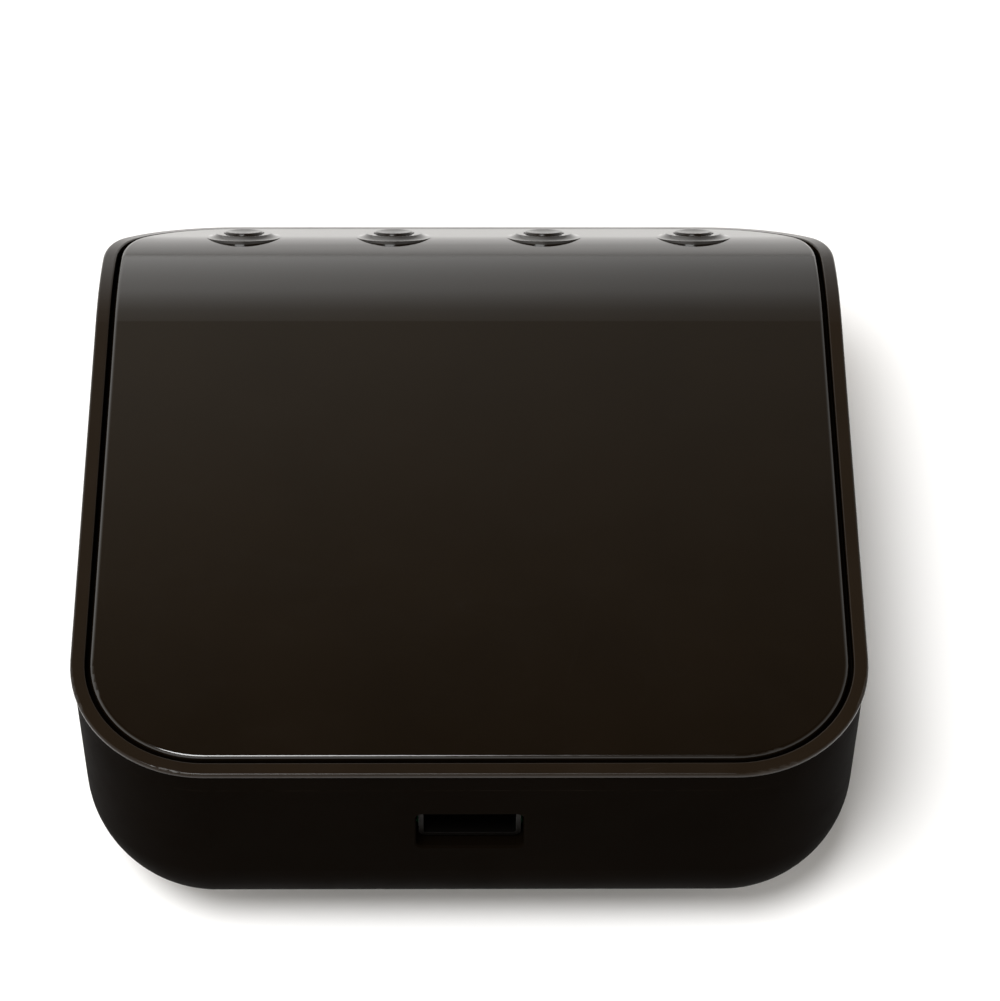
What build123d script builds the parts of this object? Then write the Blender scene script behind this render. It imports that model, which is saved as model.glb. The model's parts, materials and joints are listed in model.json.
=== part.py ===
"""Bluetooth audio receiver: a rounded box with a gloss lid that rolls down at the back.

Millimetres. X runs across, +Y points to the back, where the audio socket is, and Z points up.
The origin is at the middle of the footprint, on the surface that the feet stand on.
"""

from build123d import *
from math import asin, cos, degrees, hypot, radians, sin, sqrt, tan
import os

os.makedirs("parts", exist_ok=True)

# ---------------------------------------------------------------- driving sizes
width = 60.0  # across the rim
depth = 62.0  # front to back, over the rim
height = 24.2  # top of the rim above the table
corner_radius = 10.4  # upright corners of the rim
foot_stand = 0.5  # how far the feet hold the base off the table

# The lid is flat at the front and rolls down over its last stretch.
roll_length = 18.8  # from the start of the roll to the back edge
roll_radius = 20.0
roll_angle = 42.0  # steepest slope, held to the back edge

# Rim, lid and the upper shell under them. A drop is a depth below the lid, square to its surface.
rim_width = 1.1
lip_height = 0.45
lip_step = 0.2  # how far the lip stands out over the walls
lid_gap = 0.35  # groove between the rim and the lid
lid_proud = 0.1
lid_thickness = 1.2
tape_thickness = 0.15
tape_width = 3.0
tape_setback = 0.4  # from the lid's edge to the tape
deck_thickness = 1.1
tongue_width = 1.0
tongue_height = 1.7
slip = 0.05  # play between parts that drop into each other

# Base shell
wall = 1.8
bowl_radius = 10.0  # rounding between the walls and the bottom

# Buttons
button_count = 4
button_spacing = 12.5
button_back = 5.5  # from the row's axis to the back edge
cap_radius = 1.6
cap_proud = 0.46
cap_travel = 0.3
cap_play = 0.08  # round the cap, in the lid
dish_depth = 0.12
dish_rim = 0.35
collar_wall = 0.6
collar_height = 0.3
flare_width = 0.85  # the hollow slope round the collar's foot
flange_extra = 0.6  # how far the cap's flange stands out under the lid
flange_thickness = 0.5
flange_play = 0.25  # round the flange, in the deck
plunger_length = 1.3
plunger_clear = 0.2  # left between the pressed plunger and the switch
plunger_radius = 1.2
switch_size = 4.5
switch_height = 1.8
stem_radius = 1.0
stem_bite = 0.5  # of the stem, inside the switch at rest

# Boards
board_thickness = 1.2
board_play = 0.55  # round the main board, in the base
board_clearance = 0.5  # from the main board's back edge to the button board's underside
button_board_length = 46.0
button_board_width = 6.4
button_board_thickness = 1.0
small_board_corner = 1.0

# Power inlet, in the front wall
slot_centre = 16.1
slot_corner = 0.6
slot_play_across = 0.2  # round the receptacle, in the front wall
slot_play_up = 0.3
usb_width = 7.7
usb_height = 3.9
usb_sheet = 0.35
usb_length = 9.0
usb_recess = 0.9

# Audio outlet, in the back wall
jack_width = 7.0
jack_height = 5.4
jack_length = 11.5
jack_gap = 0.3  # from the body to the back wall's inner face
jack_centre = 8.0
jack_bore = 1.8
bush_radius = 2.4
bush_play = 0.1
mouth_chamfer = 0.3

# Screws and feet
boss_side = 14.0  # from a boss's axis to the side of the case
boss_end = 17.0  # from a boss's axis to the front or the back
boss_radius = 2.7
screw_radius = 1.0
screw_head_radius = 1.9
screw_head_height = 1.3
screw_length = 16.0
head_room = 0.2  # between a screw's head and the foot under it
foot_radius = 3.5
foot_thickness = 1.0
foot_rounding = 0.25
small_screw_radius = 0.7
screw_play = 0.15  # round a screw, in a clearance hole

# Small sizes shared by several pieces
overlap = 0.3  # how far solids that form one piece run into each other
moulded_edge = 0.3  # rounding on small moulded parts
rim_rounding = 0.2
groove_rounding = 0.12
lid_rounding = 0.35
cap_rounding = 0.18
slot_rounding = 0.2
pilot_spare = 0.15  # of a pilot hole, past the screw's end
small_pilot_depth = 2.2
small_head_radius = 1.3
small_head_height = 0.9
row_boss_radius = 1.7

# ---------------------------------------------------------------- values that follow
roll_start = depth / 2 - roll_length
roll_centre_z = height - roll_radius
deck_top = lid_thickness + tape_thickness
deck_bottom = deck_top + deck_thickness
wall_inset = lip_step + wall
slot_width = usb_width + 2 * slot_play_across
slot_height = usb_height + 2 * slot_play_up
board_top = slot_centre - usb_height / 2
head_seat = foot_thickness + head_room + screw_head_height
board_bottom = board_top - board_thickness
front_wall = -depth / 2 + lip_step
back_wall = depth / 2 - lip_step
far = 2 * (width + depth)
boss_x = width / 2 - boss_side
boss_y = depth / 2 - boss_end
boss_places = [(x, y) for x in (-boss_x, boss_x) for y in (-boss_y, boss_y)]


def inset_of(point):
    """How far a point lies inside the rim's outline, seen from above."""
    past_x = abs(point.X) - (width / 2 - corner_radius)
    past_y = abs(point.Y) - (depth / 2 - corner_radius)
    if past_x > 0 and past_y > 0:
        return corner_radius - hypot(past_x, past_y)
    return corner_radius - max(past_x, past_y)


def drop_of(point):
    """How far a point lies below the lid's surface, square to it."""
    run = point.Y - roll_start
    rise = point.Z - roll_centre_z
    if run <= 0:
        return height - point.Z
    slope = min(asin(min(run / hypot(run, rise), 1.0)), radians(roll_angle))
    return roll_radius - (run * sin(slope) + rise * cos(slope))


def edges_at(part, inset, drop, reach=0.03):
    """The edges of a part that run at one inset and one drop."""
    found = []
    for edge in part.edges():
        middle = edge @ 0.5
        if abs(inset_of(middle) - inset) < reach and abs(drop_of(middle) - drop) < reach:
            found.append(edge)
    return found


def below_lid(drop):
    """All the space below the lid's surface lowered by a drop."""
    bend = roll_radius - drop
    slope = radians(roll_angle)
    bend_end = (roll_start + bend * sin(slope), roll_centre_z + bend * cos(slope))
    foot = (bend_end[0] + far * cos(slope), bend_end[1] - far * sin(slope))
    with BuildPart() as block:
        with BuildSketch(Plane.YZ.offset(-far)):
            with BuildLine():
                Polyline((-far, -far), (-far, height - drop), (roll_start, height - drop))
                CenterArc((roll_start, roll_centre_z), bend, 90 - roll_angle, roll_angle)
                Polyline(bend_end, foot, (foot[0], -far), (-far, -far))
            make_face()
        extrude(amount=2 * far)
    return block.part


def outline(inset):
    """The case's outline seen from above, drawn into the open sketch."""
    return RectangleRounded(width - 2 * inset, depth - 2 * inset, corner_radius - inset)


def lid_layer(inset, top_drop, bottom_drop, hole_inset=None):
    """A plate, or a ring, that follows the lid between two drops."""
    upper = below_lid(top_drop)
    lower = below_lid(bottom_drop)
    with BuildPart() as layer:
        with BuildSketch():
            outline(inset)
            if hole_inset is not None:
                with BuildSketch(mode=Mode.SUBTRACT):
                    outline(hole_inset)
        extrude(amount=height + 1)
        add(upper, mode=Mode.INTERSECT)
        add(lower, mode=Mode.SUBTRACT)
    return layer.part


def save(block, label):
    """Names a finished piece and writes it."""
    block.part.label = label
    export_step(block.part, f"parts/{label}.step")


# ---------------------------------------------------------------- button row
button_run = roll_length - button_back
bend_run = roll_radius * sin(radians(roll_angle))
button_slope = asin(min(button_run, bend_run) / roll_radius)
past_bend = max(0, button_run - bend_run)
button_z = roll_centre_z + roll_radius * cos(button_slope) - past_bend * tan(button_slope)
button_xs = [(i - (button_count - 1) / 2) * button_spacing for i in range(button_count)]


def button_plane(x):
    """A plane on the lid at one place along the button row, with Z straight out of the lid."""
    normal = (0, sin(button_slope), cos(button_slope))
    return Plane(origin=(x, roll_start + button_run, button_z), x_dir=(1, 0, 0), z_dir=normal)


def disc(plane, radius, low, high):
    """A round bar square to a plane, between two heights above it."""
    with BuildPart() as bar:
        with BuildSketch(plane.offset(low)):
            Circle(radius)
        extrude(amount=high - low)
    return bar.part


def collar(plane):
    """The raised ring round a button, with a hollow slope down to the lid."""
    foot_radius = collar_radius + flare_width
    slope_radius = (flare_width**2 + collar_height**2) / (2 * collar_height)
    hollow = (collar_radius + flare_width / 2, collar_height / 2)
    length = hypot(flare_width, collar_height)
    sag = slope_radius - sqrt(slope_radius**2 - length**2 / 4)
    hollow = (hollow[0] - sag * collar_height / length, hollow[1] - sag * flare_width / length)
    with BuildPart() as ring:
        with BuildSketch(Plane(plane.offset(lid_proud).origin, x_dir=plane.x_dir, z_dir=-plane.y_dir)):
            with BuildLine():
                Polyline((foot_radius, 0), (foot_radius, -flare_root), (0, -flare_root), (0, collar_height))
                Line((0, collar_height), (collar_radius, collar_height))
                ThreePointArc((collar_radius, collar_height), hollow, (foot_radius, 0))
            make_face()
        revolve(axis=Axis(plane.origin, plane.z_dir))
    return ring.part


# The lid's underside is hollow along the row, so the flat flange stays clear of it.
flange_radius = cap_radius + flange_extra
lid_sag = flange_radius**2 / (2 * (roll_radius - lid_thickness))
flange_top = -(lid_thickness + lid_sag + slip)
flange_bottom = flange_top - flange_thickness
plunger_bottom = flange_bottom - plunger_length
switch_top = plunger_bottom - cap_travel - plunger_clear
switch_bottom = switch_top - switch_height
button_board_bottom = switch_bottom - button_board_thickness
collar_radius = cap_radius + cap_play + collar_wall
flare_root = 0.4  # the collar's foot runs this far into the lid
through = 6.0  # reach of a cutter that goes right through the lid and the deck
row_boss_xs = (-button_spacing, button_spacing)

# ---------------------------------------------------------------- upper shell
deck_hole_radius = flange_radius + flange_play
tongue_inset = wall_inset + slip
tongue_floor = jack_centre + bush_radius + bush_play + 0.2  # the tongue stops above the audio socket

with BuildPart() as lip:
    add(lid_layer(0, 0, lip_height))
    fillet(edges_at(lip.part, 0, 0), rim_rounding)
    fillet(edges_at(lip.part, 0, lip_height), rim_rounding / 2)

with BuildPart() as tongue:
    tongue_foot = deck_bottom + tongue_height
    add(lid_layer(tongue_inset, deck_bottom - overlap, tongue_foot, tongue_inset + tongue_width))
    split(bisect_by=Plane.XY.offset(tongue_floor), keep=Keep.TOP)

with BuildPart() as posts:
    with BuildSketch(Plane.XY.offset(board_top)):
        with Locations(*boss_places):
            Circle(boss_radius)
    extrude(amount=height - board_top)
    add(below_lid(deck_bottom - overlap), mode=Mode.INTERSECT)

with BuildPart() as upper_shell:
    add(lip.part)
    add(lid_layer(lip_step, lip_height - overlap, deck_bottom))
    add(tongue.part)
    add(lid_layer(rim_width, -1, deck_top), mode=Mode.SUBTRACT)
    add(posts.part)
    for x in row_boss_xs:
        add(disc(button_plane(x), row_boss_radius, switch_bottom, overlap - deck_bottom))
    for x in button_xs:
        add(disc(button_plane(x), deck_hole_radius, -through, 1), mode=Mode.SUBTRACT)
    with BuildSketch(Plane.XY.offset(board_top)):
        with Locations(*boss_places):
            Circle(screw_radius + slip)
    extrude(amount=head_seat + screw_length + pilot_spare - board_top, mode=Mode.SUBTRACT)
    for x in row_boss_xs:
        pilot_top = switch_bottom + small_pilot_depth
        pilot = disc(button_plane(x), small_screw_radius + slip, switch_bottom, pilot_top)
        add(pilot, mode=Mode.SUBTRACT)
    fillet(edges_at(upper_shell.part, rim_width, 0), groove_rounding)
save(upper_shell, "upper_shell")

# ---------------------------------------------------------------- lid
lid_inset = rim_width + lid_gap
tape_inset = lid_inset + tape_setback

with BuildPart() as lid_panel:
    add(lid_layer(lid_inset, -lid_proud, lid_thickness))
    fillet(edges_at(lid_panel.part, lid_inset, -lid_proud), lid_rounding)
    for x in button_xs:
        add(collar(button_plane(x)))
    for x in button_xs:
        add(disc(button_plane(x), cap_radius + cap_play, -through, through), mode=Mode.SUBTRACT)
save(lid_panel, "lid_panel")

with BuildPart() as lid_tape:
    add(lid_layer(tape_inset, lid_thickness, deck_top, tape_inset + tape_width))
    for x in button_xs:
        add(disc(button_plane(x), deck_hole_radius, -through, 1), mode=Mode.SUBTRACT)
save(lid_tape, "lid_tape")

# ---------------------------------------------------------------- buttons and their switches
cap_top = cap_proud + lid_proud
dish_edge = cap_radius - dish_rim
dish_radius = (dish_edge**2 + dish_depth**2) / (2 * dish_depth)
stem_bottom = switch_top - stem_bite
stem_play = 0.1

for number, x in enumerate(button_xs, start=1):
    plane = button_plane(x)
    with BuildPart() as button_cap:
        add(disc(plane, cap_radius, flange_top, cap_top))
        fillet(button_cap.edges().sort_by(Axis((0, 0, 0), plane.z_dir))[-1], cap_rounding)
        with Locations(plane.offset(cap_top - dish_depth + dish_radius)):
            Sphere(dish_radius, mode=Mode.SUBTRACT)
        add(disc(plane, flange_radius, flange_bottom, flange_top))
        add(disc(plane, plunger_radius, plunger_bottom, flange_bottom))
    save(button_cap, f"button_cap_{number}")

    with BuildPart() as switch_stem:
        add(disc(plane, stem_radius, stem_bottom, plunger_bottom))
    save(switch_stem, f"switch_stem_{number}")

    with BuildPart() as switch_body:
        with BuildSketch(plane.offset(switch_bottom)):
            RectangleRounded(switch_size, switch_size, moulded_edge)
        extrude(amount=switch_height)
        stem_room = stem_bottom - cap_travel - stem_play
        add(disc(plane, stem_radius + stem_play, stem_room, switch_top + 1), mode=Mode.SUBTRACT)
    save(switch_body, f"switch_body_{number}")

row_plane = button_plane(0)
with BuildPart() as button_board:
    with BuildSketch(row_plane.offset(button_board_bottom)):
        RectangleRounded(button_board_length, button_board_width, small_board_corner)
        with Locations(*[(x, 0) for x in row_boss_xs]):
            Circle(small_screw_radius + screw_play, mode=Mode.SUBTRACT)
    extrude(amount=button_board_thickness)
save(button_board, "button_board")

with BuildPart() as button_board_screws:
    for x in row_boss_xs:
        plane = button_plane(x)
        add(disc(plane, small_head_radius, button_board_bottom - small_head_height, button_board_bottom))
        add(disc(plane, small_screw_radius, button_board_bottom, switch_bottom + small_pilot_depth - slip))
save(button_board_screws, "button_board_screws")

# ---------------------------------------------------------------- ribbon between the two boards
ribbon_width = 6.0
ribbon_thickness = 0.15
socket_width = 8.0
upper_socket_height = 1.0
lower_socket_height = 1.6
socket_depth = 2.2
socket_mouth = 0.6  # how deep the ribbon's slot is
socket_play = 0.4
upper_socket_y = -1.6  # along the button board, from its middle
ribbon_level = button_board_bottom - upper_socket_height / 2
ribbon_bend = 1.2
ribbon_clear = 0.3  # from the bend to the lower socket's top
ribbon_seat = 0.8  # from the board to the ribbon's end in the lower socket

with BuildPart() as upper_socket:
    with BuildSketch(row_plane.offset(button_board_bottom - upper_socket_height)):
        with Locations((0, upper_socket_y)):
            Rectangle(socket_width, socket_depth)
        with Locations((0, upper_socket_y - socket_depth / 2)):
            Rectangle(ribbon_width + socket_play, socket_mouth, mode=Mode.SUBTRACT)
    extrude(amount=upper_socket_height)
save(upper_socket, "upper_ribbon_socket")

ribbon_forward = Vector(0, -cos(button_slope), sin(button_slope))
ribbon_mouth = upper_socket_y - (socket_depth - socket_mouth) / 2
ribbon_start = row_plane.origin + row_plane.z_dir * ribbon_level + row_plane.y_dir * ribbon_mouth
bend_level = board_top + lower_socket_height + ribbon_clear
bend_shortfall = bend_level - ribbon_start.Z + ribbon_bend * cos(button_slope)
ribbon_run = max(1.0, bend_shortfall / sin(button_slope))
turn_start = ribbon_start + ribbon_forward * ribbon_run
turn_y = turn_start.Y - ribbon_bend * sin(button_slope)
turn_centre = (turn_y, turn_start.Z - ribbon_bend * cos(button_slope))
lower_socket_y = turn_centre[0] - ribbon_bend

with BuildPart() as ribbon:
    with BuildSketch(Plane.YZ.offset(-ribbon_width / 2)):
        with BuildLine() as ribbon_path:
            Line((ribbon_start.Y, ribbon_start.Z), (turn_start.Y, turn_start.Z))
            CenterArc(turn_centre, ribbon_bend, 90 - degrees(button_slope), 90 + degrees(button_slope))
            Line((lower_socket_y, turn_centre[1]), (lower_socket_y, board_top + ribbon_seat))
        trace(line_width=ribbon_thickness)
    extrude(amount=ribbon_width)
save(ribbon, "ribbon_cable")

with BuildPart() as lower_socket:
    with BuildSketch(Plane.XY.offset(board_top)):
        with Locations((0, lower_socket_y)):
            Rectangle(socket_width, socket_depth)
    extrude(amount=lower_socket_height)
    with BuildSketch(Plane.XY.offset(board_top + ribbon_seat)):
        with Locations((0, lower_socket_y)):
            Rectangle(ribbon_width + socket_play, socket_mouth)
    extrude(amount=lower_socket_height, mode=Mode.SUBTRACT)
save(lower_socket, "lower_ribbon_socket")

# ---------------------------------------------------------------- base shell
foot_recess = foot_thickness - foot_stand
floor_top = foot_stand + wall
label_width = 24.0
label_length = 16.0
label_thickness = 0.12
label_corner = 1.0
label_play = 0.15

with BuildPart() as cavity:
    with BuildSketch(Plane.XY.offset(floor_top)):
        outline(wall_inset)
    extrude(amount=height)
    fillet(cavity.faces().sort_by(Axis.Z)[0].edges(), bowl_radius - wall)

with BuildPart() as base_shell:
    with BuildSketch(Plane.XY.offset(foot_stand)):
        outline(lip_step)
    extrude(amount=height)
    fillet(base_shell.faces().sort_by(Axis.Z)[0].edges(), bowl_radius)
    add(cavity.part, mode=Mode.SUBTRACT)
    add(below_lid(deck_bottom), mode=Mode.INTERSECT)
    with BuildSketch(Plane.XY.offset(floor_top - overlap)):
        with Locations(*boss_places):
            Circle(boss_radius)
    extrude(amount=board_bottom - floor_top + overlap)
    with BuildSketch(Plane.XY):
        with Locations(*boss_places):
            Circle(foot_radius + slip)
    extrude(amount=foot_thickness, mode=Mode.SUBTRACT)
    with BuildSketch(Plane.XY):
        with Locations(*boss_places):
            Circle(screw_head_radius + screw_play)
    extrude(amount=head_seat, mode=Mode.SUBTRACT)
    with BuildSketch(Plane.XY):
        with Locations(*boss_places):
            Circle(screw_radius + screw_play)
    extrude(amount=height, mode=Mode.SUBTRACT)
    with BuildSketch(Plane.XY):
        label_room = (label_width + 2 * label_play, label_length + 2 * label_play)
        RectangleRounded(*label_room, label_corner + label_play)
    extrude(amount=foot_stand + label_thickness, mode=Mode.SUBTRACT)
    with BuildSketch(Plane.XZ.offset(-front_wall + 1)):
        with Locations((0, slot_centre)):
            RectangleRounded(slot_width, slot_height, slot_corner)
    extrude(amount=-(wall + 2), mode=Mode.SUBTRACT)
    front_face = base_shell.faces().filter_by(Plane.XZ).sort_by(Axis.Y)[0]
    fillet(front_face.inner_wires()[0].edges(), slot_rounding)
    with BuildSketch(Plane.XZ.offset(-back_wall - 1)):
        with Locations((0, jack_centre)):
            Circle(bush_radius + bush_play)
    extrude(amount=wall + 3, mode=Mode.SUBTRACT)
save(base_shell, "base_shell")

# ---------------------------------------------------------------- feet, case screws, label, ballast
ballast_play = 1.3  # from the ballast to the bosses
for number, (x, y) in enumerate(boss_places, start=1):
    with BuildPart() as foot:
        with BuildSketch():
            with Locations((x, y)):
                Circle(foot_radius)
        extrude(amount=foot_thickness)
        fillet(foot.faces().sort_by(Axis.Z)[0].edges(), foot_rounding)
    save(foot, f"foot_{number}")

cross_span = 2.6  # the screw head's cross recess
cross_width = 0.5
cross_depth = 0.7

with BuildPart() as case_screws:
    for x, y in boss_places:
        plane = Plane((x, y, head_seat))
        add(disc(plane, screw_head_radius, -screw_head_height, 0))
        add(disc(plane, screw_radius, 0, screw_length))
        with BuildSketch(plane.offset(-screw_head_height)):
            Rectangle(cross_span, cross_width)
            Rectangle(cross_width, cross_span)
        extrude(amount=cross_depth, mode=Mode.SUBTRACT)
save(case_screws, "case_screws")

with BuildPart() as rating_label:
    with BuildSketch(Plane.XY.offset(foot_stand)):
        RectangleRounded(label_width, label_length, label_corner)
    extrude(amount=label_thickness)
save(rating_label, "rating_label")

ballast_width = 2 * (boss_x - boss_radius - ballast_play)
ballast_length = 19.0
ballast_thickness = 2.5
pad_thickness = 0.5
pad_margin = 1.0
ballast_corner = 1.5

with BuildPart() as ballast_pad:
    with BuildSketch(Plane.XY.offset(floor_top)):
        Rectangle(ballast_width - 2 * pad_margin, ballast_length - 2 * pad_margin)
    extrude(amount=pad_thickness)
save(ballast_pad, "ballast_pad")

with BuildPart() as ballast_plate:
    with BuildSketch(Plane.XY.offset(floor_top + pad_thickness)):
        RectangleRounded(ballast_width, ballast_length, ballast_corner)
    extrude(amount=ballast_thickness)
save(ballast_plate, "ballast_plate")

# ---------------------------------------------------------------- main board
board_front = -depth / 2 + wall_inset + board_play
board_limit = button_board_bottom - upper_socket_height - board_clearance
board_rear = roll_start + button_run
board_rear += (board_limit + (button_z - board_top) * cos(button_slope)) / sin(button_slope)
board_half = width / 2 - wall_inset - board_play
board_corner = corner_radius - wall_inset - board_play

with BuildPart() as main_board:
    with BuildSketch(Plane.XY.offset(board_bottom)):
        with Locations((0, (board_front + board_rear) / 2)):
            RectangleRounded(2 * board_half, board_rear - board_front, board_corner)
        with Locations(*boss_places):
            Circle(screw_radius + screw_play, mode=Mode.SUBTRACT)
    extrude(amount=board_thickness)
save(main_board, "main_board")

# ---------------------------------------------------------------- power inlet
usb_mouth = front_wall + usb_recess
usb_back = usb_mouth + usb_length
usb_middle = board_top + usb_height / 2
usb_corner = 0.6
insert_play = 0.02  # between the insert and the receptacle's sheet
insert_block = 2.5  # length of the solid block at the back of the receptacle
plate_width = 5.0  # the plate that carries the contacts
plate_thickness = 0.8
plate_setback = 1.0  # from the receptacle's mouth
contact_count = 5
contact_pitch = 0.8
contact_width = 0.4
contact_thickness = 0.15
contact_setback = 0.4  # from the plate's front edge


def box_between(low, high):
    """A block between two opposite corners."""
    size = [b - a for a, b in zip(low, high)]
    with BuildPart() as block:
        with BuildSketch(Plane.XY.offset(low[2])):
            with Locations(((low[0] + high[0]) / 2, (low[1] + high[1]) / 2)):
                Rectangle(size[0], size[1])
        extrude(amount=size[2])
    return block.part


with BuildPart() as usb_shell:
    with BuildSketch(Plane.XZ.offset(-usb_mouth)):
        with Locations((0, usb_middle)):
            RectangleRounded(usb_width, usb_height, usb_corner)
            RectangleRounded(
                usb_width - 2 * usb_sheet,
                usb_height - 2 * usb_sheet,
                usb_corner - usb_sheet,
                mode=Mode.SUBTRACT,
            )
    extrude(amount=-usb_length)
save(usb_shell, "usb_shell")

inner_half = usb_width / 2 - usb_sheet - insert_play
inner_rise = usb_height / 2 - usb_sheet - insert_play
block_front = usb_back - insert_block
plate_front = usb_mouth + plate_setback
plate_top = usb_middle + plate_thickness / 2

with BuildPart() as usb_insert:
    block_low = (-inner_half, block_front, usb_middle - inner_rise)
    add(box_between(block_low, (inner_half, usb_back, usb_middle + inner_rise)))
    fillet(usb_insert.edges().filter_by(Axis.Y), moulded_edge)
    plate_low = (-plate_width / 2, plate_front, plate_top - plate_thickness)
    add(box_between(plate_low, (plate_width / 2, block_front + overlap, plate_top)))
save(usb_insert, "usb_insert")

with BuildPart() as usb_contacts:
    for i in range(contact_count):
        x = (i - (contact_count - 1) / 2) * contact_pitch - contact_width / 2
        low = (x, plate_front + contact_setback, plate_top)
        add(box_between(low, (x + contact_width, block_front, plate_top + contact_thickness)))
save(usb_contacts, "usb_contacts")

# ---------------------------------------------------------------- audio outlet
jack_low = jack_centre - jack_height / 2
jack_top = jack_centre + jack_height / 2
cavity_radius = bowl_radius - wall
cavity_rise = max(0, cavity_radius - (jack_low - floor_top))
jack_setback = cavity_radius - sqrt(cavity_radius**2 - cavity_rise**2)
jack_front = back_wall - wall - jack_setback - jack_gap
jack_rear = jack_front - jack_length
stand_length = 3.0  # the block that joins the socket to the board above it
bore_end = 1.0  # solid left behind the bore
leaf_thickness = 0.25
leaf_height = 1.0
leaf_play = 0.1  # round a leaf contact, in its room
leaf_length = 5.0
leaf_start = 2.0  # from the body's rear face to the leaf rooms
leaf_wall = 0.5  # from a leaf room to the body's side
leaf_offset = 0.75  # from a leaf room's outer side to the leaf

with BuildPart() as jack_body:
    add(box_between((-jack_width / 2, jack_rear, jack_low), (jack_width / 2, jack_front, jack_top)))
    fillet(jack_body.edges().filter_by(Axis.Y), moulded_edge)
    stand_low = (-jack_width / 2, jack_rear, jack_centre)
    add(box_between(stand_low, (jack_width / 2, jack_rear + stand_length, board_bottom)))
    with BuildSketch(Plane.XZ.offset(-jack_front)):
        with Locations((0, jack_centre)):
            Circle(jack_bore)
    extrude(amount=jack_length - bore_end, mode=Mode.SUBTRACT)
    for side in (-1, 1):
        edge_in = side * (jack_bore - overlap)
        edge_out = side * (jack_width / 2 - leaf_wall)
        room_half = leaf_height / 2 + leaf_play
        low = (min(edge_in, edge_out), jack_rear + leaf_start, jack_centre - room_half)
        high = (max(edge_in, edge_out), low[1] + leaf_length, jack_centre + room_half)
        add(box_between(low, high), mode=Mode.SUBTRACT)
save(jack_body, "jack_body")

with BuildPart() as jack_bush:
    with BuildSketch(Plane.XZ.offset(-jack_front)):
        with Locations((0, jack_centre)):
            Circle(bush_radius)
            Circle(jack_bore, mode=Mode.SUBTRACT)
    extrude(amount=-(depth / 2 - jack_front))
    mouth = jack_bush.faces().sort_by(Axis.Y)[-1]
    chamfer(mouth.inner_wires()[0].edges(), mouth_chamfer)
    fillet(jack_bush.faces().sort_by(Axis.Y)[-1].outer_wire().edges(), mouth_chamfer / 2)
save(jack_bush, "jack_bush")

with BuildPart() as jack_contacts:
    for side in (-1, 1):
        middle = side * (jack_width / 2 - leaf_wall - leaf_offset)
        leaf_y = jack_rear + leaf_start + leaf_play
        low = (middle - leaf_thickness / 2, leaf_y, jack_centre - leaf_height / 2)
        leaf_end = leaf_y + leaf_length - 2 * leaf_play
        high = (middle + leaf_thickness / 2, leaf_end, jack_centre + leaf_height / 2)
        add(box_between(low, high))
save(jack_contacts, "jack_contacts")

# ---------------------------------------------------------------- parts on the main board
radio_size = (13.0, 17.0)
radio_edge = 2.45  # from the radio board to the main board's side
radio_place = (radio_edge + radio_size[0] / 2 - board_half, 0.0)
radio_thickness = 0.8
can_height = 1.8
can_sheet = 0.2
antenna_reach = 4.0
can_margin = 0.5  # from the can to the radio board's edge
can_corner = 0.5
track_width = 0.4
track_thickness = 0.06
track_rise = 2.4  # between the antenna's near and far tracks
track_pitch = 2.0
track_count = 5


def chip(place, size, base=board_top):
    """A moulded part standing on a board."""
    half_x, half_y = size[0] / 2, size[1] / 2
    low = (place[0] - half_x, place[1] - half_y, base)
    return box_between(low, (place[0] + half_x, place[1] + half_y, base + size[2]))


radio_top = board_top + radio_thickness
with BuildPart() as radio_board:
    add(chip(radio_place, (*radio_size, radio_thickness)))
save(radio_board, "radio_board")

can_size = (radio_size[0] - 2 * can_margin, radio_size[1] - antenna_reach - 2 * can_margin)
can_place = (radio_place[0], radio_place[1] - antenna_reach / 2)
with BuildPart() as radio_can:
    add(chip(can_place, (*can_size, can_height), radio_top))
    fillet(radio_can.edges().filter_by(Axis.Z), can_corner)
    inside = (can_size[0] - 2 * can_sheet, can_size[1] - 2 * can_sheet, can_height - can_sheet)
    add(chip(can_place, inside, radio_top), mode=Mode.SUBTRACT)
save(radio_can, "radio_can")

with BuildPart() as radio_antenna:
    antenna_y = radio_place[1] + radio_size[1] / 2 - antenna_reach + can_margin + track_width / 2
    antenna_x = radio_place[0] - track_pitch * track_count / 2
    with BuildSketch(Plane.XY.offset(radio_top)):
        for i in range(track_count):
            x = antenna_x + track_pitch * i
            with Locations((x, antenna_y + track_rise / 2)):
                Rectangle(track_width, track_rise + track_width)
            with Locations((x + track_pitch / 2, antenna_y + (i % 2) * track_rise)):
                Rectangle(track_pitch + track_width, track_width)
    extrude(amount=track_thickness)
save(radio_antenna, "radio_antenna")

moulded_chamfer = 0.1
moulded_parts = {
    "audio_chip": ((6.0, 1.0), (7.0, 7.0, 1.0)),
    "memory_chip": ((-4.5, 3.0), (5.0, 4.0, 1.2)),
    "power_chip": ((-5.5, -12.0), (4.5, 3.6, 1.4)),
    "crystal": ((8.5, 8.5), (5.0, 3.2, 1.0)),
}
for name, (place, size) in moulded_parts.items():
    with BuildPart() as moulded:
        add(chip(place, size))
        chamfer(moulded.faces().sort_by(Axis.Z)[-1].edges(), moulded_chamfer)
    save(moulded, name)

coil_place = (7.0, -12.5)
coil_size = (5.0, 5.0, 2.6)
coil_corner = 1.2

with BuildPart() as power_coil:
    add(chip(coil_place, coil_size))
    fillet(power_coil.edges().filter_by(Axis.Z), coil_corner)
save(power_coil, "power_coil")

capacitor_radius = 2.5
capacitor_height = 4.8
capacitor_base = (5.4, 5.4, 0.6)
capacitor_edge = 2.75  # from a capacitor's base to the main board's side
capacitor_x = board_half - capacitor_edge - capacitor_base[0] / 2

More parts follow.
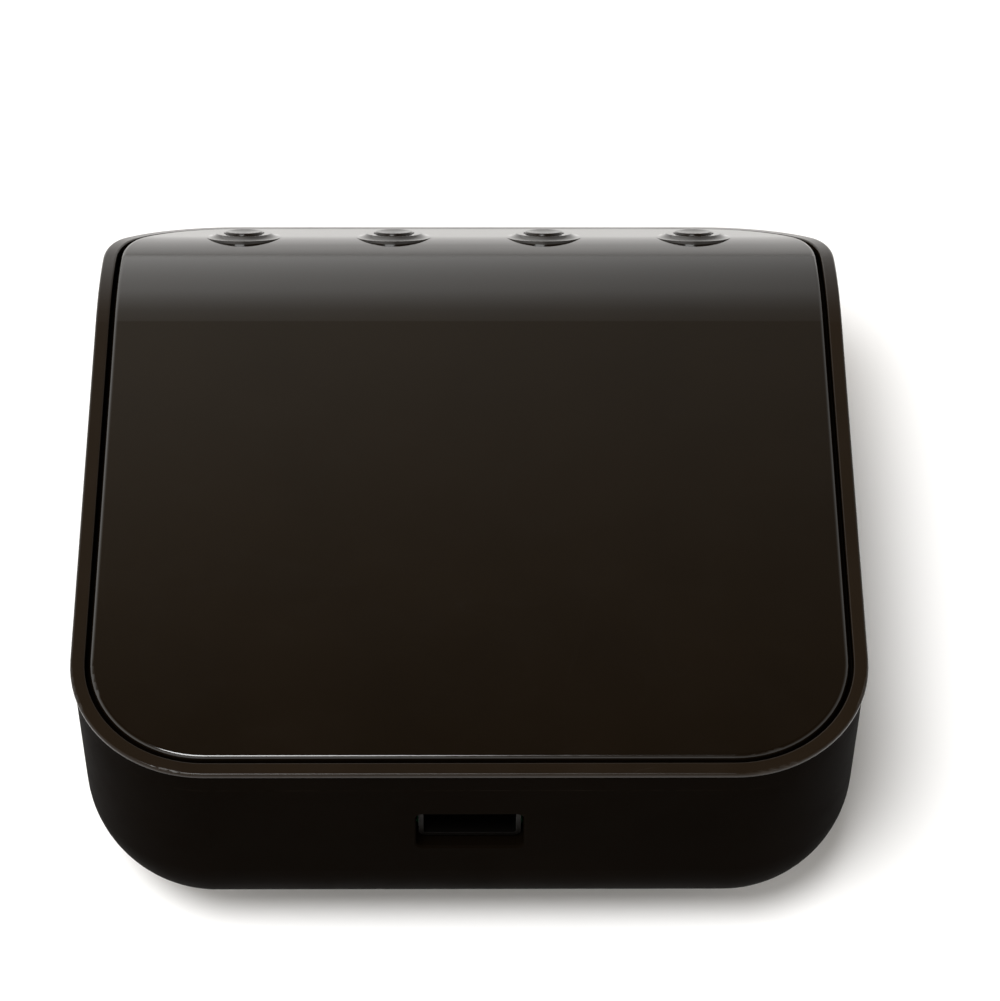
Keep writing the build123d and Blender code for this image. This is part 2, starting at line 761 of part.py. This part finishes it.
for number, y in enumerate((-4.0, 4.0), start=1):
    with BuildPart() as capacitor:
        add(chip((capacitor_x, y), capacitor_base))
        with BuildSketch(Plane.XY.offset(board_top + capacitor_base[2])):
            with Locations((capacitor_x, y)):
                Circle(capacitor_radius)
        extrude(amount=capacitor_height)
        fillet(capacitor.faces().sort_by(Axis.Z)[-1].edges(), moulded_edge)
    save(capacitor, f"capacitor_{number}")

chip_size = (1.6, 0.8, 0.6)
chip_start = (12.5, -5.0)
chip_pitch = (2.4, 1.8)
chip_columns = 3
chip_rows = 5
with BuildPart() as chip_parts:
    for column in range(chip_columns):
        for row in range(chip_rows):
            place = (chip_start[0] + chip_pitch[0] * column, chip_start[1] + chip_pitch[1] * row)
            add(chip(place, chip_size))
save(chip_parts, "chip_parts")
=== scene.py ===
"""The looks of the audio receiver: its plastics, metals, rubber and boards, in a small pale studio."""

import bpy
import json
from math import cos, radians, sin, tan
from mathutils import Matrix, Vector

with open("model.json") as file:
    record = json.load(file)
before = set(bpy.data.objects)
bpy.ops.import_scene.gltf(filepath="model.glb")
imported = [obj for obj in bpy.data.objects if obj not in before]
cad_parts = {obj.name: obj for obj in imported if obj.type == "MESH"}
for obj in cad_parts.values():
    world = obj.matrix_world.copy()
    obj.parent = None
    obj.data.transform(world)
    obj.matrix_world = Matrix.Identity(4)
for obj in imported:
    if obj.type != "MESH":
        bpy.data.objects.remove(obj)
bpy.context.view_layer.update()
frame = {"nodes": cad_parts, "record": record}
MM = 0.001

# ------------------------------------------------------------------ shader writing

BEVEL_SAMPLES = 6
EDGE_BEND = (0.02, 0.18)  # how far a normal bends where wear starts, and where it is whole


class Socket:
    """One value in a material's graph. Arithmetic on it adds Math nodes."""

    def __init__(self, graph, socket):
        self.graph = graph
        self.socket = socket

    def maths(self, operation, *values):
        return self.graph.node("ShaderNodeMath", {"operation": operation}, *values)

    def __add__(self, other):
        return self.maths("ADD", self, other)

    def __radd__(self, other):
        return self.maths("ADD", other, self)

    def __sub__(self, other):
        return self.maths("SUBTRACT", self, other)

    def __rsub__(self, other):
        return self.maths("SUBTRACT", other, self)

    def __mul__(self, other):
        return self.maths("MULTIPLY", self, other)

    def __rmul__(self, other):
        return self.maths("MULTIPLY", other, self)

    def __gt__(self, other):
        return self.maths("GREATER_THAN", self, other)

    def power(self, other):
        return self.maths("POWER", self, other)

    def size(self):
        return self.maths("ABSOLUTE", self)

    def at_least(self, low):
        return self.maths("MAXIMUM", self, low)

    def clamp(self):
        return self.maths("MINIMUM", self, 1.0).at_least(0.0)


class Graph:
    """The node tree of one material or of the surroundings."""

    def __init__(self, tree):
        self.tree = tree
        tree.nodes.clear()

    def node(self, kind, settings=None, *values, output=0, **named):
        """Adds a node, sets it up, feeds its sockets in order or by name, and gives one output."""
        made = self.tree.nodes.new(kind)
        for key, value in (settings or {}).items():
            if key == "stops":
                self._stops(made.color_ramp, value)
            else:
                setattr(made, key, value)
        for index, value in enumerate(values):
            self.feed(made.inputs[index], value)
        for name, value in named.items():
            self.feed(made.inputs[name.replace("_", " ")], value)
        return Socket(self, made.outputs[output])

    def _stops(self, ramp, stops):
        while len(ramp.elements) < len(stops):
            ramp.elements.new(0.5)
        for element, (place, colour) in zip(ramp.elements, stops):
            element.position = place
            element.color = (*colour, 1.0)

    def feed(self, entry, value):
        if isinstance(value, Socket):
            self.tree.links.new(value.socket, entry)
        elif entry.type == "RGBA":
            entry.default_value = (*value, 1.0)
        else:
            entry.default_value = value

    def place(self, stretch=(1.0, 1.0, 1.0)):
        """Where a point is on the object, in millimetres, stretched along each axis."""
        here = self.node("ShaderNodeTexCoord", None, output="Object")
        size = [s / MM for s in stretch]
        return self.node("ShaderNodeVectorMath", {"operation": "MULTIPLY"}, here, size)

    def noise(self, size, detail=2.0, roughness=0.5, stretch=(1.0, 1.0, 1.0), distortion=0.0):
        """Cloudy values from 0 to 1, with patches of a size in millimetres."""
        return self.node(
            "ShaderNodeTexNoise", None, Vector=self.place(stretch), Scale=1.0 / size,
            Detail=detail, Roughness=roughness, Distortion=distortion,
        )

    def mix(self, share, first, second):
        """A colour between two colours."""
        mixed = self.tree.nodes.new("ShaderNodeMix")
        mixed.data_type = "RGBA"
        self.feed(mixed.inputs["Factor"], share)
        self.feed(mixed.inputs[6], first)
        self.feed(mixed.inputs[7], second)
        return Socket(self, mixed.outputs[2])

    def band(self, value, low, high):
        """0 below low, 1 above high, and a straight rise between."""
        return self.node("ShaderNodeMapRange", {"clamp": True}, value, low, high, 0.0, 1.0)

    def worn_edges(self, radius):
        """1 on sharp edges, fading to 0 within a radius in millimetres."""
        soft = self.node("ShaderNodeBevel", {"samples": BEVEL_SAMPLES}, Radius=radius * MM)
        true = self.node("ShaderNodeNewGeometry", None, output="True Normal")
        facing = self.node("ShaderNodeVectorMath", {"operation": "DOT_PRODUCT"}, soft, true, output="Value")
        return self.band(1.0 - facing, *EDGE_BEND)

    def bump(self, height, distance, strength=1.0):
        """A normal from a height, where distance is in millimetres."""
        return self.node("ShaderNodeBump", None, Strength=strength, Distance=distance * MM, Height=height)


MATERIALS = {}


def material(name):
    """Keeps the material that a function paints, under its slot's name."""

    def keep(paint):
        made = bpy.data.materials.new(name)
        made.use_nodes = True
        graph = Graph(made.node_tree)
        surface = paint(graph)
        output = graph.tree.nodes.new("ShaderNodeOutputMaterial")
        graph.tree.links.new(surface.socket, output.inputs["Surface"])
        MATERIALS[name] = made
        return paint

    return keep


def surface(graph, colour, roughness, metallic, normal, **constants):
    """The one shader that every material ends in."""
    return graph.node(
        "ShaderNodeBsdfPrincipled", None, Base_Color=colour, Roughness=roughness, Metallic=metallic,
        Normal=normal, **constants,
    )


def hairlines(graph, size, width, stretch):
    """Thin wandering lines, as fine scratches leave."""
    wander = graph.noise(size, 1.0, 0.4, stretch, 0.6)
    return 1.0 - graph.band((wander - 0.5).size(), 0.0, width)


# ------------------------------------------------------------------ plastics of the case

COCOA_BLACK = (0.0105, 0.0066, 0.0036)
COCOA_WORN = (0.045, 0.036, 0.027)
COCOA_PALER = 1.25  # times the dark tone, in the paler clouds
CLOUD_SIZE = 11.0
FLECK_SIZE = 0.9
HANDLED_SIZE = 5.0
WAVE_SIZE = 7.0
GRAIN_SIZE = 0.10
WAVE_SHARE = 0.9
SKIN_DEPTH = 0.004
COCOA_EDGE = 0.16
SCRATCH_DULLS = 0.03
EDGE_DULLS = 0.2


def scratches(graph):
    """Hairlines along both ways of the lid."""
    along = hairlines(graph, 7.0, 0.0035, (0.25, 1.0, 1.0))
    across = hairlines(graph, 9.0, 0.003, (1.0, 0.3, 1.0))
    return (along + across).clamp()


def cocoa_plastic(graph, depth, gloss, smudge, wear, grain, **constants):
    """The very dark brown plastic of the case: depth scales its colour and gloss is its roughness."""
    cloud = graph.noise(CLOUD_SIZE, 3.0, 0.55)
    fleck = graph.noise(FLECK_SIZE, 2.0, 0.6)
    deep = [depth * c for c in COCOA_BLACK]
    pale = [COCOA_PALER * c for c in deep]
    colour = graph.mix(graph.band(cloud, 0.3, 0.75), deep, pale)
    edge = graph.worn_edges(COCOA_EDGE)
    colour = graph.mix(edge * wear * graph.band(fleck, 0.3, 0.7), colour, COCOA_WORN)
    handled = graph.band(graph.noise(HANDLED_SIZE, 4.0, 0.6), 0.45, 0.75)
    roughness = gloss + smudge * handled + SCRATCH_DULLS * scratches(graph) + EDGE_DULLS * edge
    skin = graph.noise(GRAIN_SIZE, 2.0, 0.6) * grain + graph.noise(WAVE_SIZE, 1.0) * WAVE_SHARE
    return surface(graph, colour, roughness.clamp(), 0.0, graph.bump(skin, SKIN_DEPTH), **constants)


def case_finish(graph):
    """The matt finish of the lower body, which the rim's skirt shares."""
    return cocoa_plastic(
        graph, depth=0.2, gloss=0.5, smudge=0.08, wear=0.12, grain=1.0, Specular_IOR_Level=0.003
    )


@material("lid_gloss")
def lid_gloss(graph):
    return cocoa_plastic(graph, depth=0.42, gloss=0.105, smudge=0.03, wear=0.35, grain=0.05, IOR=1.5)


# The lid and the rim are flat to the start of the roll, turn about its axis, then run straight down.
ROLL_START = 12.2
ROLL_RADIUS = 20.0
ROLL_ANGLE = radians(42.0)
RIM_TOP = 24.2
LIP_HEIGHT = 0.45
LIP_BLEND = 0.04


def drop_below_rim(graph):
    """How far a point lies below the rim's top, square to it, in millimetres."""
    y = graph.node("ShaderNodeSeparateXYZ", None, graph.place(), output="Y")
    z = graph.node("ShaderNodeSeparateXYZ", None, graph.place(), output="Z")
    run = (y - ROLL_START).at_least(0.0)
    rise = z - (RIM_TOP - ROLL_RADIUS)
    reach = (run * run + rise * rise).power(0.5)
    straight = run * sin(ROLL_ANGLE) + rise * cos(ROLL_ANGLE)
    past = run > rise * tan(ROLL_ANGLE)
    return ROLL_RADIUS - (reach + past * (straight - reach))


@material("rim_black")
def rim_black(graph):
    lip = cocoa_plastic(
        graph, depth=0.9, gloss=0.22, smudge=0.06, wear=0.6, grain=0.35, Specular_IOR_Level=0.16
    )
    skirt = case_finish(graph)
    below = graph.band(drop_below_rim(graph), LIP_HEIGHT - LIP_BLEND, LIP_HEIGHT + LIP_BLEND)
    return graph.node("ShaderNodeMixShader", None, below, lip, skirt)


@material("button_black")
def button_black(graph):
    return cocoa_plastic(
        graph, depth=0.5, gloss=0.2, smudge=0.06, wear=0.6, grain=0.2, Specular_IOR_Level=0.3
    )


@material("case_black")
def case_black(graph):
    return case_finish(graph)


# ------------------------------------------------------------------ other finishes


PATCH_SIZE = 3.0
PATCH_CHANGE = 0.25
MOULDED_EDGE = 0.1
TARNISH_SIZE = 2.5
TARNISH = 0.25
PLATED_EDGE = 0.08
DRAWN_LINES = (1.0, 8.0, 1.0)  # the stretch that turns fine noise into lines


def moulding(graph, colour, roughness):
    """A plain moulded surface with uneven tone, light edges and a fine grain."""
    share = graph.noise(PATCH_SIZE, 3.0, 0.6)
    darker = [c * (1 - PATCH_CHANGE) for c in colour]
    lighter = [min(1.0, c * (1 + PATCH_CHANGE)) for c in colour]
    tone = graph.mix(graph.band(share, 0.3, 0.7), darker, lighter)
    edge = graph.worn_edges(MOULDED_EDGE)
    tone = graph.mix(edge * 0.25, tone, [min(1.0, 1.6 * c + 0.02) for c in colour])
    rough = roughness + 0.12 * (graph.noise(PATCH_SIZE / 3, 3.0) - 0.5) + 0.05 * edge
    normal = graph.bump(graph.noise(0.08, 2.0, 0.6), 0.003, 0.6)
    return surface(graph, tone, rough.clamp(), 0.0, normal)


def plated(graph, colour, roughness):
    """Plated sheet metal: drawn lines along one way, dull patches and bright edges."""
    lines = graph.noise(0.12, 3.0, 0.6, DRAWN_LINES)
    patch = graph.band(graph.noise(TARNISH_SIZE, 4.0, 0.6), 0.45, 0.8)
    tone = graph.mix(patch, colour, [c * (1 - TARNISH) for c in colour])
    edge = graph.worn_edges(PLATED_EDGE)
    tone = graph.mix(edge * 0.4, tone, [min(1.0, 1.3 * c + 0.05) for c in colour])
    rough = roughness + 0.14 * (lines - 0.5) + 0.12 * patch
    return surface(graph, tone, rough.clamp(), 1.0, graph.bump(lines, 0.0015, 0.5))


PLAIN_MOULDINGS = {
    "tape_black": ((0.02, 0.02, 0.02), 0.85),
    "stem_black": ((0.03, 0.03, 0.03), 0.45),
    "switch_grey": ((0.10, 0.10, 0.11), 0.5),
    "ribbon_white": ((0.80, 0.80, 0.78), 0.4),
    "socket_ivory": ((0.75, 0.70, 0.60), 0.5),
    "insert_black": ((0.012, 0.012, 0.012), 0.5),
    "chip_black": ((0.03, 0.03, 0.032), 0.55),
    "coil_grey": ((0.16, 0.16, 0.17), 0.6),
    "ceramic_tan": ((0.50, 0.38, 0.25), 0.45),
    "foot_rubber": ((0.022, 0.021, 0.020), 0.8),
    "label_grey": ((0.24, 0.24, 0.245), 0.38),
}
PLATED_METALS = {
    "screw_steel": ((0.55, 0.55, 0.56), 0.3),
    "screw_black": ((0.05, 0.05, 0.055), 0.35),
    # usb_steel's near-black colour is painted shade: the steel socket shell is darkened to stand for the
    # shade inside the slot, not steel's own colour.
    "usb_steel": ((0.008, 0.007, 0.006), 0.5),
    "contact_gold": ((0.78, 0.56, 0.22), 0.25),
    "bush_nickel": ((0.60, 0.59, 0.57), 0.2),
    "can_steel": ((0.62, 0.62, 0.63), 0.3),
    "capacitor_aluminium": ((0.72, 0.72, 0.73), 0.35),
    "ballast_steel": ((0.45, 0.45, 0.46), 0.4),
}


def add_plain_finishes():
    """The finishes that differ only in colour and gloss."""
    for name, (colour, roughness) in PLAIN_MOULDINGS.items():
        material(name)(lambda graph, c=colour, r=roughness: moulding(graph, c, r))
    for name, (colour, roughness) in PLATED_METALS.items():
        material(name)(lambda graph, c=colour, r=roughness: plated(graph, c, r))


def solder_mask(graph, mask, copper):
    """A printed board: mask over copper, with tracks as lighter lanes."""
    lanes = graph.node(
        "ShaderNodeTexBrick", {"offset": 0.37}, Vector=graph.place(), Color1=(0, 0, 0), Color2=(1, 1, 1),
        Mortar=(1, 1, 1), Scale=0.55, Mortar_Size=0.06, Brick_Width=1.7, Row_Height=0.6,
    )
    share = graph.node("ShaderNodeRGBToBW", None, lanes)
    grain = graph.noise(0.2, 2.0)
    tone = graph.mix(share * 0.55 + grain * 0.15, mask, copper)
    rough = 0.32 + 0.1 * grain
    normal = graph.bump(share, 0.02, 0.5)
    return surface(graph, tone, rough, 0.0, normal)


@material("board_green")
def board_green(graph):
    return solder_mask(graph, (0.010, 0.085, 0.035), (0.035, 0.20, 0.08))


@material("board_blue")
def board_blue(graph):
    return solder_mask(graph, (0.010, 0.03, 0.13), (0.03, 0.08, 0.26))


add_plain_finishes()

for row in frame["record"]["subparts"]:
    node = frame["nodes"][row["node"]]
    node.data.materials.clear()
    node.data.materials.append(MATERIALS[row["material_slot"]])

# ------------------------------------------------------------------ studio


@material("studio_floor")
def studio_floor(graph):
    mottle = graph.noise(40.0, 3.0)
    tone = graph.mix(mottle, (0.93, 0.93, 0.93), (0.95, 0.95, 0.95))
    normal = graph.bump(graph.noise(1.5, 2.0), 0.01)
    return surface(graph, tone, 0.7 + 0.1 * mottle, 0.0, normal, Specular_IOR_Level=0.2)


FLOOR_HALF = 3.0


def lay_floor():
    """A plain pale floor that the feet stand on."""
    corners = [(x, y, 0.0) for x, y in ((-1, -1), (1, -1), (1, 1), (-1, 1))]
    mesh = bpy.data.meshes.new("floor")
    mesh.from_pydata([(FLOOR_HALF * x, FLOOR_HALF * y, z) for x, y, z in corners], [], [(0, 1, 2, 3)])
    mesh.materials.append(MATERIALS["studio_floor"])
    floor = bpy.data.objects.new("floor", mesh)
    bpy.context.scene.collection.objects.link(floor)


# The surroundings' colour at each height in degrees above the horizon.
SKY = [
    (0.0, (1.0, 0.99, 0.97)),
    (30.0, (0.93, 0.91, 0.88)),
    (42.0, (0.51, 0.48, 0.44)),
    (50.0, (0.32, 0.285, 0.235)),
    (53.5, (0.15, 0.118, 0.085)),
    (57.0, (0.028, 0.018, 0.009)),
    (90.0, (0.028, 0.018, 0.009)),
]
SKY_STRENGTH = 1.75
RIGHT_SHADE = 0.5
SHADE_BLEND = 0.12


def round_light(name, azimuth, elevation, distance, size, power):
    """A round soft light that faces the receiver. Azimuth 0 is behind it, and 90 to its right."""
    light = bpy.data.lights.new(name, "AREA")
    light.shape = "DISK"
    light.size = size
    light.energy = power
    lamp = bpy.data.objects.new(name, light)
    az, el = radians(azimuth), radians(elevation)
    lamp.location = distance * Vector((sin(az) * cos(el), cos(az) * cos(el), sin(el)))
    lamp.rotation_euler = (-lamp.location).to_track_quat("-Z", "Y").to_euler()
    bpy.context.scene.collection.objects.link(lamp)


def light_surroundings():
    """A pale band round the horizon that darkens overhead and towards the right."""
    world = bpy.data.worlds.new("studio")
    world.use_nodes = True
    bpy.context.scene.world = world
    graph = Graph(world.node_tree)
    way = graph.node("ShaderNodeTexCoord", None, output="Generated")
    across = graph.node("ShaderNodeSeparateXYZ", None, way, output="X")
    rise = graph.node("ShaderNodeSeparateXYZ", None, way, output="Z")
    stops = [(sin(radians(angle)), tone) for angle, tone in SKY]
    tone = graph.node("ShaderNodeValToRGB", {"stops": stops}, rise)
    side = 1.0 - RIGHT_SHADE * graph.band(across, -SHADE_BLEND, SHADE_BLEND)
    glow = graph.node("ShaderNodeBackground", None, Color=tone, Strength=SKY_STRENGTH * side)
    output = graph.tree.nodes.new("ShaderNodeOutputWorld")
    graph.tree.links.new(glow.socket, output.inputs["Surface"])


# The camera looks down on the front edge, a little from the left.
AIM = Vector((2.661, 12.446, 0.0)) * MM
CAMERA_DISTANCE = 324.8 * MM
CAMERA_PITCH = 53.05
CAMERA_TURN = 0.9
CAMERA_ROLL = 0.69
CAMERA_LENS = 136.66
CAMERA_SENSOR = 36.0


def place_camera():
    pitch, turn, roll = radians(CAMERA_PITCH), radians(CAMERA_TURN), radians(CAMERA_ROLL)
    forward = Vector((sin(turn) * cos(pitch), cos(turn) * cos(pitch), -sin(pitch)))
    level = Vector((cos(turn), -sin(turn), 0.0))
    upright = level.cross(forward)
    right = level * cos(roll) + upright * sin(roll)
    up = upright * cos(roll) - level * sin(roll)
    camera = bpy.data.cameras.new("camera")
    camera.lens = CAMERA_LENS
    camera.sensor_width = CAMERA_SENSOR
    camera.clip_start = 0.01
    seat = bpy.data.objects.new("camera", camera)
    facing = Matrix((right, up, -forward)).transposed().to_4x4()
    seat.matrix_world = Matrix.Translation(AIM - forward * CAMERA_DISTANCE) @ facing
    bpy.context.scene.collection.objects.link(seat)
    bpy.context.scene.camera = seat


lay_floor()
light_surroundings()
round_light("key", azimuth=-145, elevation=70, distance=1.2, size=0.5, power=13.5)
place_camera()
bpy.context.scene.view_settings.view_transform = "Standard"
